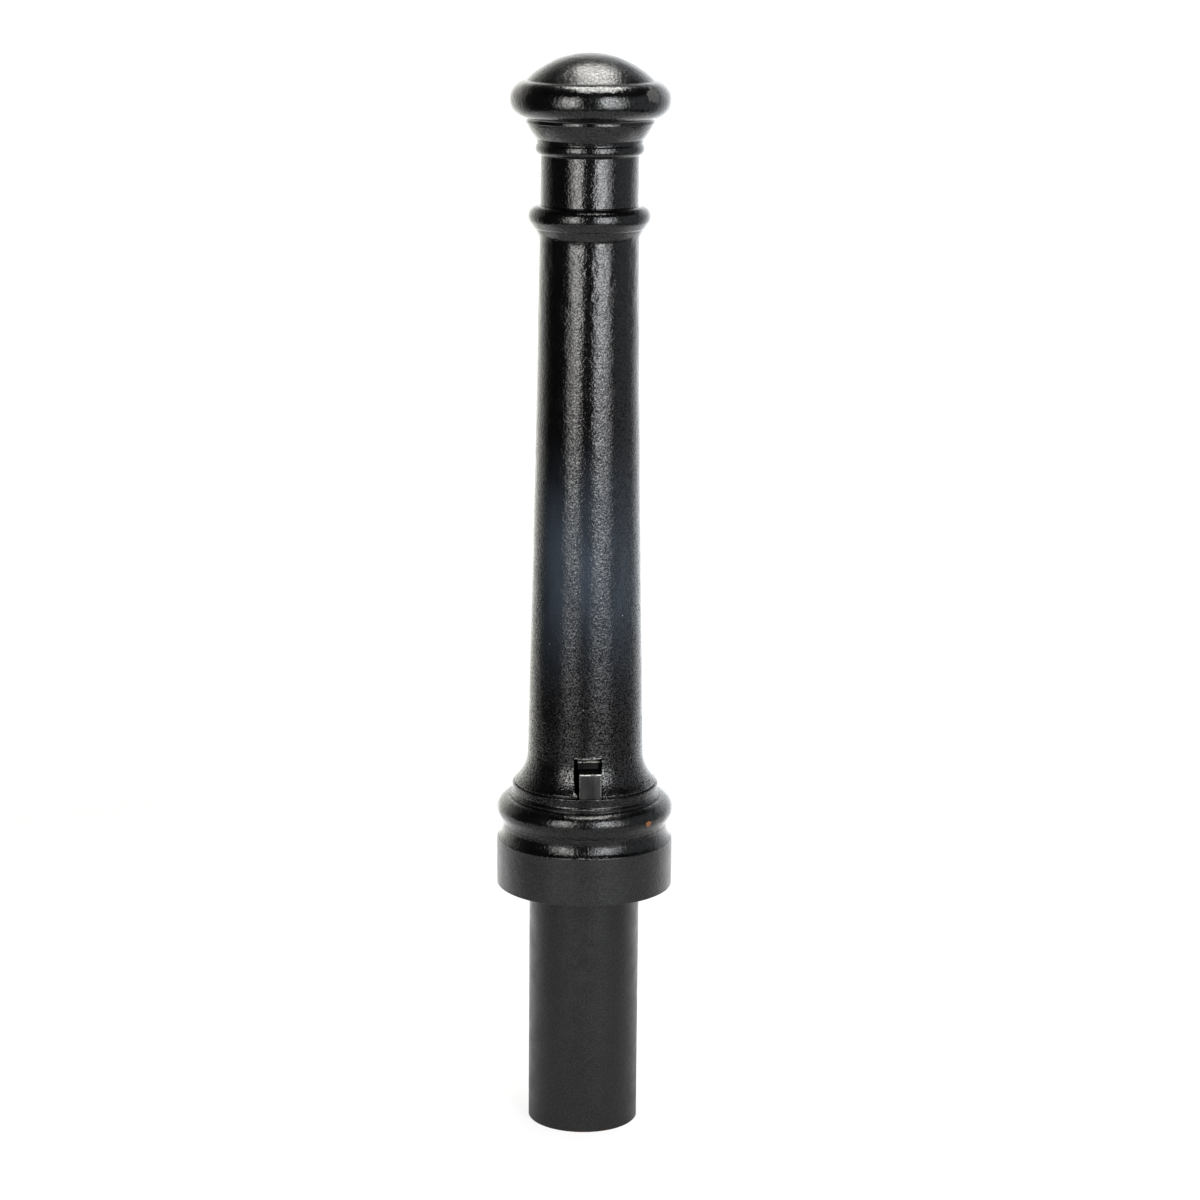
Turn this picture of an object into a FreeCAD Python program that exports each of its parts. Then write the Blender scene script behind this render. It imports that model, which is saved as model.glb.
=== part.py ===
"""Removable cast-iron street bollard, with its lift-out locking rod.

Millimetres. +Z is up along the post's axis, and Z = 0 is the ground line, the
underside of the collar. The window with the thumb tab faces -Y. Each physical
piece is written to its own STEP file in parts/.
"""
import FreeCAD, Part
import math
import os

Vector = FreeCAD.Vector
UP = Vector(0, 0, 1)
ALONG_X = Vector(1, 0, 0)

# ---------------------------------------------------------------- driving sizes
POST_TOP = 1000.0            # top of the dome above the ground line
ROOT_BOTTOM = -300.0         # lower end of the root tube in its ground socket
WALL = 10.0                  # usual casting wall

# Root tube: a 133 mm steel tube, turned down where it enters the base casting
ROOT_RADIUS = 66.5
ROOT_BORE = 58.5
ROOT_CHAMFER = 1.0
SPIGOT_RADIUS = 64.5         # turned-down upper end of the root tube
SPIGOT_TOP = 62.0
HUB_BORE = 64.55             # bore of the base casting round that spigot

# Base casting, from the ground line up
COLLAR_RADIUS = 106.0
COLLAR_TOP = 58.5
COLLAR_EDGE = 0.9
COVE_RADIUS = 98.85          # a cove flares down from the bead to the collar's edge
COVE_BEND_LEVEL = 65.1       # where its upright and its slope would meet
COVE_ROUND = 19.8
COVE_TOP = 78.7
COVE_TOP_ROUND = 6.0
BEAD_RADIUS = 105.9
BEAD_ROUND = 15.8
BEAD_BOTTOM = 91.4
BEAD_TOP = 108.2
FILLET_LEVEL = 111.1         # two fine steps between the bead and the band
FILLET_TOP = 114.1
FILLET_RADIUS = 91.2
BEAD_SHOULDER_RADIUS = 92.8
BAND_RADIUS = 87.8
BAND_FLARE = 3.0
LEDGE_LEVEL = 126.5          # top of the base casting, where the column stands
LEDGE_EDGE = 1.0
HUB_OUTER = 76.0             # the hub stands inside the skirt, open underneath
SKIRT_INNER = 94.0
SKIRT_CORE_TOP = 47.0
MOULDING_INNER = 84.0
MOULDING_CORE_TOP = 104.0

# Joint between the column's foot and the base casting
REGISTER_RADIUS = 72.0       # spigot under the column's foot
REGISTER_DEPTH = 6.0
REGISTER_PLAY = 1.0          # under the cap's spigot
FIT_GAP = 0.05
DOWEL_RADIUS = 3.0
DOWEL_CIRCLE = 75.6
DOWEL_HALF_LENGTH = 8.0

# Column casting, from its foot up
FOOT_RADIUS = 85.2
FOOT_LIP_LEVEL = 130.0
FOOT_LIP_ROUND = 2.0
FLARE_LEVEL = 144.7
FLARE_ROUND = 51.0
SHAFT_FOOT_RADIUS = 69.9
SHAFT_MID_RADIUS = 63.3      # the shaft's sides are very slightly hollow
SHAFT_MID_LEVEL = 460.0
SHAFT_HOLLOW = 40000.0
SHAFT_TOP_RADIUS = 58.55
SHAFT_TOP = 786.7
RING_COVE_ROUND = 18.0
RING_STEP_RADIUS = 64.4
RING_STEP_LEVEL = 797.2
RING_FOOT_RADIUS = 65.6
RING_FOOT_LEVEL = 798.0
RING_RADIUS = 72.0
RING_ROUND = 12.5
RING_BOTTOM = 807.5
RING_TOP = 823.0
NECK_RADIUS = 57.9
NECK_BOTTOM = 824.6
NECK_TOP = 882.4
NECK_FILLET = 0.8
ASTRAGAL_RADIUS = 63.8
ASTRAGAL_ROUND = 8.0
ASTRAGAL_BOTTOM = 884.6
ASTRAGAL_TOP = 893.5
QUIRK_RADIUS = 62.0
QUIRK_LEVEL = 896.2
OGEE_FOOT_RADIUS = 63.0
OGEE_FOOT = 900.9
OGEE_RADIUS = 70.8
OGEE_LEVEL = 910.2
OGEE_ROUND = 80.0
COLUMN_TOP_RADIUS = 75.0
CAP_LEVEL = 920.0            # joint between column and cap
BORE_FOOT_RADIUS = 64.5      # inside of the column
BORE_LOW_RADIUS = 59.9
BORE_LOW_LEVEL = 168.0
BORE_TOP_RADIUS = 47.6
CAP_REGISTER_RADIUS = 52.0
CAP_REGISTER_DEPTH = 12.0

# Cap casting
CAP_FOOT_RADIUS = 75.6
CAP_THROAT_LEVEL = 925.0
CAP_THROAT_ROUND = 3.0
CAP_BEAD_RADIUS = 94.4
CAP_BEAD_ROUND = 21.2
CAP_BEAD_BOTTOM = 930.3
CAP_BEAD_TOP = 966.95
CREASE_RADIUS = 74.4         # line where dome and bead meet
CREASE_LEVEL = 968.5
DOME_CORNER = 43.95
DOME_ROUND = 103.0
CAP_CORE_RADIUS = 60.0
CAP_CORE_FOOT = 934.0
CAP_CORE_SHOULDER = 955.0
CAP_CORE_TOP = 986.0
CAP_SPIGOT_BORE = 43.0
CAP_BOSS_RADIUS = 20.0
CAP_BOSS_FOOT = 926.0
GASKET_INNER = 54.0
GASKET_OUTER = 62.0
GASKET_THICKNESS = 2.0

# Tie rod, M20, which draws the cap, column, base and root together
TIE_RADIUS = 10.0
TIE_BOTTOM = -6.0
TIE_TOP = 964.0
TIE_CHAMFER = 1.5
TIE_HOLE = 10.5
TAP_RUNOUT = 2.0             # the tapped hole goes on above the stud's end
NUT_ACROSS_FLATS = 30.0
NUT_BEVEL = 2.5
HEXAGON_SIDES = 6
NUT_HEIGHT = 16.0
LOCK_NUT_HEIGHT = 10.0
WASHER_RADIUS = 18.5
WASHER_THICKNESS = 3.0
ROOT_PLATE_BOTTOM = 30.0
ROOT_PLATE_THICKNESS = 12.0
KEY_WIDTH = 12.0             # key between the root tube and the base casting
KEY_DEPTH = 8.0
KEY_BOTTOM = 22.0

# Window in the column's foot. It is wider on its left, beside the tab, where its
# side slopes in to a narrower notch that goes down to the ledge
WINDOW_LEFT = -18.5
WINDOW_RIGHT = 14.4
WINDOW_TOP = 171.0
SLOPE_TOP = 134.0
NOTCH_LEFT = -15.5
NOTCH_TOP = 131.0
WINDOW_OUTSIDE = -100.0
WINDOW_INSIDE = -50.0

# Locking rod and thumb tab. They slide up together
ROD_Y = -45.0
ROD_RADIUS = 8.0
ROD_BOTTOM = -278.0
ROD_TOP = 102.0
ROD_TIP_CHAMFER = 3.0
TAB_HALF_WIDTH = 13.3
TAB_FRONT = -85.5
TAB_TOP = 157.0
TAB_CHAMFER = 2.0
STEM_FRONT = -57.0
STEM_BACK = -33.0
STEM_BOTTOM = 80.0
STEM_TOP = 166.0
TAB_PIN_RADIUS = 2.5
TAB_PIN_LEVEL = 91.0
BUSH_RADIUS = 10.5
BUSH_FLANGE_RADIUS = 12.8
BUSH_FLANGE = 3.0
SPRING_COIL_RADIUS = 11.0
SPRING_WIRE_RADIUS = 1.0
SPRING_PITCH = 7.8
SPRING_BOTTOM = -52.0
SEAT_RADIUS = 12.5
SEAT_THICKNESS = 3.0
SEAT_PIN_RADIUS = 2.0
SEAT_PIN_HALF_LENGTH = 12.0
PIN_PLAY = 0.05

# Bayonet plate in the root's lower end. It takes the T-head of the ground stud
BAYONET_BOTTOM = -265.0
BAYONET_THICKNESS = 10.0
BAYONET_LENGTH = 64.0
BAYONET_WIDTH = 18.0
WELD_GAP = 0.1
PLATE_GAP = 0.3              # the bayonet plate can be taken out
FOOT_RING_BORE = 46.0
FOOT_RING_HEIGHT = 14.0
ROD_RELIEF = 14.5            # notch in the foot ring that clears the rod's bush
SCREW_COUNT = 4
SCREW_CIRCLE = 51.5
SCREW_RADIUS = 4.0
SCREW_LENGTH = 20.0
SCREW_HEAD_RADIUS = 6.5
SCREW_HEAD_HEIGHT = 8.0
SCREW_SOCKET_FLATS = 6.0
SCREW_SOCKET_DEPTH = 4.0
SCREW_FIRST_ANGLE = 45.0

SAME_PLACE = 1e-6            # two points closer than this are one
ON_FACE = 0.01               # an edge this close to a face lies on it


# ---------------------------------------------------------------- shape helpers
def rounded_edges(corners):
    """Edges of a closed outline in the XZ plane.

    Each corner is (distance from the axis, level, rounding radius). A corner
    with a rounding of 0 stays sharp; the others become tangent arcs.
    """
    stretches = []
    count = len(corners)
    for index, (radius, level, rounding) in enumerate(corners):
        before = corners[index - 1]
        after = corners[(index + 1) % count]
        here = Vector(radius, 0, level)
        if rounding == 0:
            stretches.append((here, None, here))
            continue
        back = (Vector(before[0], 0, before[1]) - here).normalize()
        ahead = (Vector(after[0], 0, after[1]) - here).normalize()
        half_angle = back.getAngle(ahead) / 2
        reach = rounding / math.tan(half_angle)
        inward = (back + ahead).normalize()
        middle = here + inward * (rounding / math.sin(half_angle) - rounding)
        stretches.append((here + back * reach, middle, here + ahead * reach))

    edges = []
    for index, (start, middle, end) in enumerate(stretches):
        previous_end = stretches[index - 1][2]
        if previous_end.distanceToPoint(start) > SAME_PLACE:
            edges.append(Part.LineSegment(previous_end, start).toShape())
        if middle is not None:
            edges.append(Part.Arc(start, middle, end).toShape())
    return edges


def turned(corners):
    """Solid of revolution about the post's axis from a rounded outline."""
    face = Part.Face(Part.Wire(rounded_edges(corners)))
    return face.revolve(Vector(0, 0, 0), UP, 360)


def cylinder(radius, bottom, top, x=0.0, y=0.0):
    """Upright cylinder between two levels."""
    return Part.makeCylinder(radius, top - bottom, Vector(x, y, bottom), UP)


def ring(outer, inner, bottom, top, x=0.0, y=0.0):
    """Upright ring between two levels."""
    return cylinder(outer, bottom, top, x, y).cut(cylinder(inner, bottom, top, x, y))


def cross_pin(radius, half_length, y, level):
    """Pin lying along X, centred on x = 0."""
    start = Vector(-half_length, y, level)
    return Part.makeCylinder(radius, 2 * half_length, start, ALONG_X)


def block(x_range, y_range, z_range):
    """Box between two corners given as ranges."""
    corner = Vector(x_range[0], y_range[0], z_range[0])
    return Part.makeBox(
        x_range[1] - x_range[0], y_range[1] - y_range[0], z_range[1] - z_range[0], corner)


def hexagon_prism(across_flats, bottom, top):
    """Hexagonal prism on the post's axis."""
    corner_radius = across_flats / math.sqrt(3)
    points = []
    for step in range(HEXAGON_SIDES + 1):
        angle = math.radians(step * 360 / HEXAGON_SIDES)
        points.append(Vector(corner_radius * math.cos(angle), corner_radius * math.sin(angle), bottom))
    return Part.Face(Part.makePolygon(points)).extrude(UP * (top - bottom))


def nut(bottom, height):
    """M20 nut with its corners bevelled top and bottom."""
    flat_radius = NUT_ACROSS_FLATS / 2
    corner_radius = flat_radius + NUT_BEVEL
    bevel_height = NUT_BEVEL / 2
    blank = turned([
        (0, bottom, 0),
        (flat_radius, bottom, 0),
        (corner_radius, bottom + bevel_height, 0),
        (corner_radius, bottom + height - bevel_height, 0),
        (flat_radius, bottom + height, 0),
        (0, bottom + height, 0),
    ])
    prism = hexagon_prism(NUT_ACROSS_FLATS, bottom, bottom + height)
    return prism.common(blank).cut(cylinder(TIE_RADIUS + PIN_PLAY, bottom, bottom + height))


def chamfer_edges(shape, size, wanted):
    """Chamfer the edges for which wanted(edge) is true."""
    edges = [edge for edge in shape.Edges if wanted(edge)]
    return shape.makeChamfer(size, edges)


# ---------------------------------------------------------------- castings
def window_opening():
    """Window and the notch below it, as one solid to cut through the column's foot."""
    corners = [
        (WINDOW_LEFT, WINDOW_TOP),
        (WINDOW_RIGHT, WINDOW_TOP),
        (WINDOW_RIGHT, LEDGE_LEVEL),
        (NOTCH_LEFT, LEDGE_LEVEL),
        (NOTCH_LEFT, NOTCH_TOP),
        (WINDOW_LEFT, SLOPE_TOP),
        (WINDOW_LEFT, WINDOW_TOP),
    ]
    outline = Part.makePolygon([Vector(x, WINDOW_OUTSIDE, level) for x, level in corners])
    return Part.Face(outline).extrude(Vector(0, WINDOW_INSIDE - WINDOW_OUTSIDE, 0))


def column_casting():
    """Flared foot, tapered shaft, ring, neck, astragal and ogee, hollow inside."""
    outside = [
        (FOOT_RADIUS, LEDGE_LEVEL, 0),
        (FOOT_RADIUS, FOOT_LIP_LEVEL, FOOT_LIP_ROUND),
        (SHAFT_FOOT_RADIUS, FLARE_LEVEL, FLARE_ROUND),
        (SHAFT_MID_RADIUS, SHAFT_MID_LEVEL, SHAFT_HOLLOW),
        (SHAFT_TOP_RADIUS, SHAFT_TOP, RING_COVE_ROUND),
        (RING_STEP_RADIUS, RING_STEP_LEVEL, 0),
        (RING_FOOT_RADIUS, RING_FOOT_LEVEL, 0),
        (RING_RADIUS, RING_BOTTOM, RING_ROUND),
        (RING_RADIUS, RING_TOP, RING_ROUND),
        (NECK_RADIUS, NECK_BOTTOM, NECK_FILLET),
        (NECK_RADIUS, NECK_TOP, NECK_FILLET),
        (ASTRAGAL_RADIUS, ASTRAGAL_BOTTOM, ASTRAGAL_ROUND),
        (ASTRAGAL_RADIUS, ASTRAGAL_TOP, ASTRAGAL_ROUND),
        (QUIRK_RADIUS, QUIRK_LEVEL, NECK_FILLET),
        (OGEE_FOOT_RADIUS, OGEE_FOOT, 0),
        (OGEE_RADIUS, OGEE_LEVEL, OGEE_ROUND),
        (COLUMN_TOP_RADIUS, CAP_LEVEL, 0),
    ]
    register_floor = CAP_LEVEL - CAP_REGISTER_DEPTH
    inside = [
        (CAP_REGISTER_RADIUS + FIT_GAP, CAP_LEVEL, 0),
        (CAP_REGISTER_RADIUS + FIT_GAP, register_floor, 0),
        (BORE_TOP_RADIUS, register_floor, 0),
        (BORE_TOP_RADIUS, SHAFT_TOP, 0),
        (BORE_LOW_RADIUS, BORE_LOW_LEVEL, 0),
        (BORE_FOOT_RADIUS, LEDGE_LEVEL, 0),
        (BORE_FOOT_RADIUS, LEDGE_LEVEL - REGISTER_DEPTH, 0),
        (REGISTER_RADIUS, LEDGE_LEVEL - REGISTER_DEPTH, 0),
        (REGISTER_RADIUS, LEDGE_LEVEL, 0),
    ]
    casting = turned(outside + inside)
    return casting.cut([window_opening(), foot_dowels()])


def base_casting():
    """Collar, cove, bead and ledge outside; a hub for the root tube inside."""
    register_floor = LEDGE_LEVEL - REGISTER_DEPTH
    casting = turned([
        (HUB_BORE, 0, 0),
        (HUB_OUTER, 0, 0),
        (HUB_OUTER, MOULDING_CORE_TOP, 0),
        (MOULDING_INNER, MOULDING_CORE_TOP, 0),
        (MOULDING_INNER, SKIRT_CORE_TOP + WALL, 0),
        (SKIRT_INNER, SKIRT_CORE_TOP, 0),
        (SKIRT_INNER, 0, 0),
        (COLLAR_RADIUS, 0, 0),
        (COLLAR_RADIUS, COLLAR_TOP, COLLAR_EDGE),
        (COVE_RADIUS, COVE_BEND_LEVEL, COVE_ROUND),
        (COVE_RADIUS, COVE_TOP, COVE_TOP_ROUND),
        (BEAD_RADIUS, BEAD_BOTTOM, BEAD_ROUND),
        (BEAD_RADIUS, BEAD_TOP, BEAD_ROUND),
        (BEAD_SHOULDER_RADIUS, FILLET_LEVEL, 0),
        (FILLET_RADIUS, FILLET_LEVEL, 0),
        (FILLET_RADIUS, FILLET_TOP, 0),
        (BAND_RADIUS, FILLET_TOP, BAND_FLARE),
        (BAND_RADIUS, LEDGE_LEVEL, LEDGE_EDGE),
        (REGISTER_RADIUS + FIT_GAP, LEDGE_LEVEL, 0),
        (REGISTER_RADIUS + FIT_GAP, register_floor, 0),
        (HUB_BORE, register_floor, 0),
    ])
    return casting.cut([root_key(), foot_dowels()])


def cap_casting():
    """Domed cap with a fat bead, a spigot below and a tapped boss inside."""
    register_foot = CAP_LEVEL - CAP_REGISTER_DEPTH + REGISTER_PLAY
    gasket_top = CAP_LEVEL + GASKET_THICKNESS
    casting = turned([
        (0, POST_TOP, 0),
        (0, CAP_BOSS_FOOT, 0),
        (CAP_BOSS_RADIUS, CAP_BOSS_FOOT, 0),
        (CAP_BOSS_RADIUS, CAP_CORE_TOP, 0),
        (CAP_BOSS_RADIUS + WALL, CAP_CORE_TOP, 0),
        (CAP_CORE_RADIUS, CAP_CORE_SHOULDER, 0),
        (CAP_CORE_RADIUS, CAP_CORE_FOOT, 0),
        (CAP_SPIGOT_BORE, CAP_LEVEL, 0),
        (CAP_SPIGOT_BORE, register_foot, 0),
        (CAP_REGISTER_RADIUS, register_foot, 0),
        (CAP_REGISTER_RADIUS, CAP_LEVEL, 0),
        (GASKET_INNER, CAP_LEVEL, 0),
        (GASKET_INNER, gasket_top, 0),
        (GASKET_OUTER, gasket_top, 0),
        (GASKET_OUTER, CAP_LEVEL, 0),
        (CAP_FOOT_RADIUS, CAP_LEVEL, 0),
        (CAP_FOOT_RADIUS, CAP_THROAT_LEVEL, CAP_THROAT_ROUND),
        (CAP_BEAD_RADIUS, CAP_BEAD_BOTTOM, CAP_BEAD_ROUND),
        (CAP_BEAD_RADIUS, CAP_BEAD_TOP, CAP_BEAD_ROUND),
        (CREASE_RADIUS, CREASE_LEVEL, 0),
        (DOME_CORNER, POST_TOP, DOME_ROUND),
    ])
    return casting.cut(cylinder(TIE_RADIUS + PIN_PLAY, CAP_BOSS_FOOT, TIE_TOP + TAP_RUNOUT))


def cap_gasket():
    """Flat ring let into the underside of the cap."""
    return ring(GASKET_OUTER, GASKET_INNER, CAP_LEVEL, CAP_LEVEL + GASKET_THICKNESS)


def foot_dowels():
    """Two dowels across the joint that keep the window to the front."""
    bottom = LEDGE_LEVEL - DOWEL_HALF_LENGTH
    top = LEDGE_LEVEL + DOWEL_HALF_LENGTH
    dowels = [cylinder(DOWEL_RADIUS, bottom, top, side * DOWEL_CIRCLE) for side in (-1, 1)]
    return Part.makeCompound(dowels)


# ---------------------------------------------------------------- root and tie rod
def root_key():
    """Parallel key at the back, half in the root tube and half in the base casting's hub."""
    inner = SPIGOT_RADIUS - KEY_DEPTH / 2
    y_range = (inner, inner + KEY_DEPTH)
    return block((-KEY_WIDTH / 2, KEY_WIDTH / 2), y_range, (KEY_BOTTOM, SPIGOT_TOP))


def root_tube():
    """Steel tube that stands in the ground socket."""
    tube = turned([
        (ROOT_BORE, ROOT_BOTTOM, 0),
        (ROOT_RADIUS - ROOT_CHAMFER, ROOT_BOTTOM, 0),
        (ROOT_RADIUS, ROOT_BOTTOM + ROOT_CHAMFER, 0),
        (ROOT_RADIUS, 0, 0),
        (SPIGOT_RADIUS, 0, 0),
        (SPIGOT_RADIUS, SPIGOT_TOP, 0),
        (ROOT_BORE, SPIGOT_TOP, 0),
    ])
    return tube.cut(root_key())


def root_plate():
    """Plate welded across the root tube. The tie rod pulls on it."""
    top = ROOT_PLATE_BOTTOM + ROOT_PLATE_THICKNESS
    plate = cylinder(ROOT_BORE - WELD_GAP, ROOT_PLATE_BOTTOM, top)
    rod_hole = cylinder(BUSH_RADIUS, ROOT_PLATE_BOTTOM, top, 0, ROD_Y)
    return plate.cut([cylinder(TIE_HOLE, ROOT_PLATE_BOTTOM, top), rod_hole])


def tie_rod():
    """Long stud on the axis, screwed into the cap's boss."""
    return turned([
        (0, TIE_BOTTOM, 0),
        (TIE_RADIUS - TIE_CHAMFER, TIE_BOTTOM, 0),
        (TIE_RADIUS, TIE_BOTTOM + TIE_CHAMFER, 0),
        (TIE_RADIUS, TIE_TOP - TIE_CHAMFER, 0),
        (TIE_RADIUS - TIE_CHAMFER, TIE_TOP, 0),
        (0, TIE_TOP, 0),
    ])


def tie_rod_washer():
    """Washer under the root plate."""
    bottom = ROOT_PLATE_BOTTOM - WASHER_THICKNESS
    return ring(WASHER_RADIUS, TIE_HOLE, bottom, ROOT_PLATE_BOTTOM)


def tie_rod_nut():
    """Nut that draws the whole post together."""
    return nut(ROOT_PLATE_BOTTOM - WASHER_THICKNESS - NUT_HEIGHT, NUT_HEIGHT)


def lower_lock_nut():
    """Thin nut locked under the tie rod's nut."""
    top = ROOT_PLATE_BOTTOM - WASHER_THICKNESS - NUT_HEIGHT
    return nut(top - LOCK_NUT_HEIGHT, LOCK_NUT_HEIGHT)


def upper_lock_nut():
    """Thin nut that locks the tie rod in the cap's boss."""
    return nut(CAP_BOSS_FOOT - LOCK_NUT_HEIGHT, LOCK_NUT_HEIGHT)


# ---------------------------------------------------------------- bayonet foot
def screw_places():
    """Centres of the bayonet plate's screws."""
    places = []
    for index in range(SCREW_COUNT):
        angle = math.radians(SCREW_FIRST_ANGLE + index * 360 / SCREW_COUNT)
        places.append((SCREW_CIRCLE * math.cos(angle), SCREW_CIRCLE * math.sin(angle)))
    return places


def screw_holes(bottom, top):
    """Clearance for the screws' shanks between two levels."""
    return [cylinder(SCREW_RADIUS + PIN_PLAY, bottom, top, x, y) for x, y in screw_places()]


def foot_ring():
    """Ring welded in the root tube. The bayonet plate is screwed up to it."""
    bottom = BAYONET_BOTTOM + BAYONET_THICKNESS
    top = bottom + FOOT_RING_HEIGHT
    blank = ring(ROOT_BORE - WELD_GAP, FOOT_RING_BORE, bottom, top)
    relief = block((-ROD_RELIEF, ROD_RELIEF), (-ROOT_BORE, 0), (bottom, top))
    return blank.cut([relief] + screw_holes(bottom, top))


def bayonet_plate():
    """Plate with the slot that the ground stud's T-head passes through."""
    top = BAYONET_BOTTOM + BAYONET_THICKNESS
    levels = (BAYONET_BOTTOM, top)
    plate = cylinder(ROOT_BORE - PLATE_GAP, *levels)
    half_length = BAYONET_LENGTH / 2
    half_width = BAYONET_WIDTH / 2
    slot = block((-half_length, half_length), (-half_width, half_width), levels)
    rod_hole = cylinder(BUSH_RADIUS, BAYONET_BOTTOM, top, 0, ROD_Y)
    return plate.cut([slot, rod_hole] + screw_holes(*levels))


def bayonet_screws():
    """Socket-head screws under the bayonet plate."""
    socket_top = BAYONET_BOTTOM - SCREW_HEAD_HEIGHT + SCREW_SOCKET_DEPTH
    screws = []
    for x, y in screw_places():
        head = cylinder(SCREW_HEAD_RADIUS, BAYONET_BOTTOM - SCREW_HEAD_HEIGHT, BAYONET_BOTTOM, x, y)
        shank = cylinder(SCREW_RADIUS, BAYONET_BOTTOM, BAYONET_BOTTOM + SCREW_LENGTH, x, y)
        socket = hexagon_prism(SCREW_SOCKET_FLATS, BAYONET_BOTTOM - SCREW_HEAD_HEIGHT, socket_top)
        socket.translate(Vector(x, y, 0))
        screws.append(head.fuse(shank).cut(socket).removeSplitter())
    return Part.makeCompound(screws)


# ---------------------------------------------------------------- locking rod
def flanged_bush(bottom, top):
    """Bronze bush for the locking rod, its flange on top of the plate."""
    body = cylinder(BUSH_RADIUS, bottom, top, 0, ROD_Y)
    flange = cylinder(BUSH_FLANGE_RADIUS, top, top + BUSH_FLANGE, 0, ROD_Y)
    bore = cylinder(ROD_RADIUS + FIT_GAP, bottom, top + BUSH_FLANGE, 0, ROD_Y)
    return body.fuse(flange).cut(bore).removeSplitter()


def upper_rod_bush():
    """Bush in the root plate."""
    return flanged_bush(ROOT_PLATE_BOTTOM, ROOT_PLATE_BOTTOM + ROOT_PLATE_THICKNESS)


def lower_rod_bush():
    """Bush in the bayonet plate."""
    return flanged_bush(BAYONET_BOTTOM, BAYONET_BOTTOM + BAYONET_THICKNESS)


def seat_pin_level():
    """Level of the pin that carries the spring seat."""
    return SPRING_BOTTOM - SEAT_THICKNESS - SEAT_PIN_RADIUS


def locking_rod():
    """Round rod that drops into the ground socket's locking hole."""
    rod = turned([
        (0, ROD_BOTTOM, 0),
        (ROD_RADIUS - ROD_TIP_CHAMFER, ROD_BOTTOM, 0),
        (ROD_RADIUS, ROD_BOTTOM + ROD_TIP_CHAMFER, 0),
        (ROD_RADIUS, ROD_TOP, 0),
        (0, ROD_TOP, 0),
    ])
    rod.translate(Vector(0, ROD_Y, 0))
    holes = [
        cross_pin(TAB_PIN_RADIUS, 2 * ROD_RADIUS, ROD_Y, TAB_PIN_LEVEL),
        cross_pin(SEAT_PIN_RADIUS, 2 * ROD_RADIUS, ROD_Y, seat_pin_level()),
    ]
    return rod.cut(holes)


def thumb_tab():
    """Stem behind the window, with the tab that stands out through it."""
    width = (-TAB_HALF_WIDTH, TAB_HALF_WIDTH)
    stem = block(width, (STEM_FRONT, STEM_BACK), (STEM_BOTTOM, STEM_TOP))
    tab = block(width, (TAB_FRONT, STEM_FRONT), (LEDGE_LEVEL, TAB_TOP))
    body = stem.fuse(tab).removeSplitter()

    def outer_edge(edge):
        middle = edge.CenterOfMass
        on_front = abs(middle.y - TAB_FRONT) < ON_FACE and middle.z > LEDGE_LEVEL + ON_FACE
        stem_top = abs(middle.z - STEM_TOP) < ON_FACE and abs(middle.y - STEM_FRONT) < ON_FACE
        return on_front or stem_top

    body = chamfer_edges(body, TAB_CHAMFER, outer_edge)
    rod_hole = cylinder(ROD_RADIUS + PIN_PLAY, STEM_BOTTOM, ROD_TOP, 0, ROD_Y)
    pin_hole = cross_pin(TAB_PIN_RADIUS, 2 * TAB_HALF_WIDTH, ROD_Y, TAB_PIN_LEVEL)
    return body.cut([rod_hole, pin_hole])


def tab_pin():
    """Pin that fixes the thumb tab on the rod."""
    return cross_pin(TAB_PIN_RADIUS - PIN_PLAY, TAB_HALF_WIDTH, ROD_Y, TAB_PIN_LEVEL)


def spring_seat():
    """Washer on the rod that the return spring presses down."""
    return ring(SEAT_RADIUS, ROD_RADIUS + PIN_PLAY, SPRING_BOTTOM - SEAT_THICKNESS, SPRING_BOTTOM, 0, ROD_Y)


def seat_pin():
    """Pin through the rod under the spring seat."""
    return cross_pin(SEAT_PIN_RADIUS - PIN_PLAY, SEAT_PIN_HALF_LENGTH, ROD_Y, seat_pin_level())


def return_spring():
    """Compression spring between the spring seat and the root plate."""
    height = ROOT_PLATE_BOTTOM - SPRING_BOTTOM - 2 * SPRING_WIRE_RADIUS
    helix = Part.makeHelix(SPRING_PITCH, height, SPRING_COIL_RADIUS)
    start = Vector(SPRING_COIL_RADIUS, 0, 0)
    section = Part.Wire(Part.makeCircle(SPRING_WIRE_RADIUS, start, Vector(0, 1, 0)))
    spring = Part.Wire(helix).makePipeShell([section], True, True)
    spring.translate(Vector(0, ROD_Y, SPRING_BOTTOM + SPRING_WIRE_RADIUS))
    return spring


# ---------------------------------------------------------------- export
PIECES = [
    cap_casting, cap_gasket, column_casting, foot_dowels, base_casting,
    root_tube, root_key, root_plate, tie_rod, tie_rod_washer, tie_rod_nut,
    lower_lock_nut, upper_lock_nut, foot_ring, bayonet_plate, bayonet_screws,
    upper_rod_bush, lower_rod_bush, locking_rod, thumb_tab, tab_pin,
    spring_seat, seat_pin, return_spring,
]

os.makedirs("parts", exist_ok=True)
for piece in PIECES:
    shape = piece()
    shape.exportStep("parts/" + piece.__name__ + ".step")
    print(piece.__name__, "solids", len(shape.Solids), "valid", shape.isValid(),
          "volume cm3", round(shape.Volume / 1000, 1))
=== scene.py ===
"""Looks of the removable cast-iron street bollard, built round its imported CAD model.

The row frame: +Z is up along the post's axis, Z = 0 is the ground line and the window
faces -Y. Outlines are in millimetres, as in the CAD source, and meshes are in metres.
"""

import math

import bmesh
import bpy
import numpy as np
from mathutils import Matrix, Vector, noise


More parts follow.
